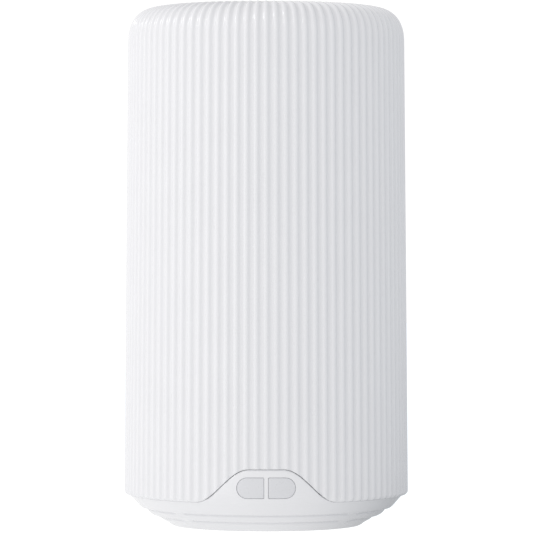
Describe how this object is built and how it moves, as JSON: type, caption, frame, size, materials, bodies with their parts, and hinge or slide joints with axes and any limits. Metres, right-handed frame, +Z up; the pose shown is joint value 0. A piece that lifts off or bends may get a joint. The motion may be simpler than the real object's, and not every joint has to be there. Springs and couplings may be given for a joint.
{
  "type": "mesh wifi node",
  "caption": "Tall cylindrical mesh wifi node: ribbed white sleeve, bowl base with vent slots, push keys in a wave-shaped tongue, rear port bay",
  "frame": {"origin": "bottom centre of the rubber foot", "axes": "+Z up along the cylinder; the keys face -Y; the ports face +Y; +X is to the right seen from the front"},
  "size_m": [0.12, 0.1197, 0.2185],
  "materials": {
    "white_plastic": "satin moulded",
    "frosted_key_plastic": "frosted translucent",
    "grey_plastic": "moulded",
    "black_plastic": "moulded",
    "grey_rubber": "matte",
    "circuit_board": "solder mask",
    "chip_resin": "moulded",
    "thermal_pad": "soft pad",
    "aluminium": "extruded",
    "plated_steel": "tin plated",
    "led_lens": "clear epoxy",
    "ribbon_film": "film"
  },
  "bodies": {
    "node_body": {"antenna_1": "circuit_board", "antenna_2": "circuit_board", "antenna_3": "circuit_board", "antenna_4": "circuit_board", "antenna_cable_1": "black_plastic", "antenna_cable_2": "black_plastic", "antenna_cable_3": "black_plastic", "antenna_cable_4": "black_plastic", "base_housing": "white_plastic", "base_plate": "grey_plastic", "base_screw_1": "plated_steel", "base_screw_2": "plated_steel", "base_screw_3": "plated_steel", "base_screw_4": "plated_steel", "board_screw_1": "plated_steel", "board_screw_2": "plated_steel", "board_screw_3": "plated_steel", "board_screw_4": "plated_steel", "chassis_frame": "grey_plastic", "chassis_screw_1": "plated_steel", "chassis_screw_2": "plated_steel", "chassis_screw_3": "plated_steel", "chassis_screw_4": "plated_steel", "dc_jack": "black_plastic", "ethernet_jack_1": "black_plastic", "ethernet_jack_2": "black_plastic", "foot_ring": "grey_rubber", "heat_sink_front": "aluminium", "heat_sink_rear": "aluminium", "key_board": "circuit_board", "key_ribbon": "ribbon_film", "left_key_board_screw": "plated_steel", "left_key_switch": "black_plastic", "left_port_board_screw": "plated_steel", "left_status_led": "led_lens", "main_board": "circuit_board", "memory_chip": "chip_resin", "outer_shell": "white_plastic", "port_board": "circuit_board", "port_panel": "grey_plastic", "port_ribbon": "ribbon_film", "radio_shield_1": "plated_steel", "radio_shield_2": "plated_steel", "reset_switch": "black_plastic", "right_key_board_screw": "plated_steel", "right_key_switch": "black_plastic", "right_port_board_screw": "plated_steel", "right_status_led": "led_lens", "soc_chip": "chip_resin", "soc_thermal_pad": "thermal_pad", "top_cap": "white_plastic"},
    "left_key_body": {"left_key": "frosted_key_plastic", "left_key_plunger": "grey_plastic"},
    "right_key_body": {"right_key": "frosted_key_plastic", "right_key_plunger": "grey_plastic"},
    "reset_button_body": {"reset_button": "grey_plastic"}
  },
  "joints": [
    {"name": "left_key_press", "type": "slide", "parent": "node_body", "child": "left_key_body", "axis": [0, 1, 0], "range_m": [0, 0.0008], "stiffness_N_per_m": 1200, "springref_m": -0.0004},
    {"name": "right_key_press", "type": "slide", "parent": "node_body", "child": "right_key_body", "axis": [0, 1, 0], "range_m": [0, 0.0008], "stiffness_N_per_m": 1200, "springref_m": -0.0004},
    {"name": "reset_press", "type": "slide", "parent": "node_body", "child": "reset_button_body", "axis": [0, -1, 0], "range_m": [0, 0.0006], "stiffness_N_per_m": 1500, "springref_m": -0.0003}
  ]
}
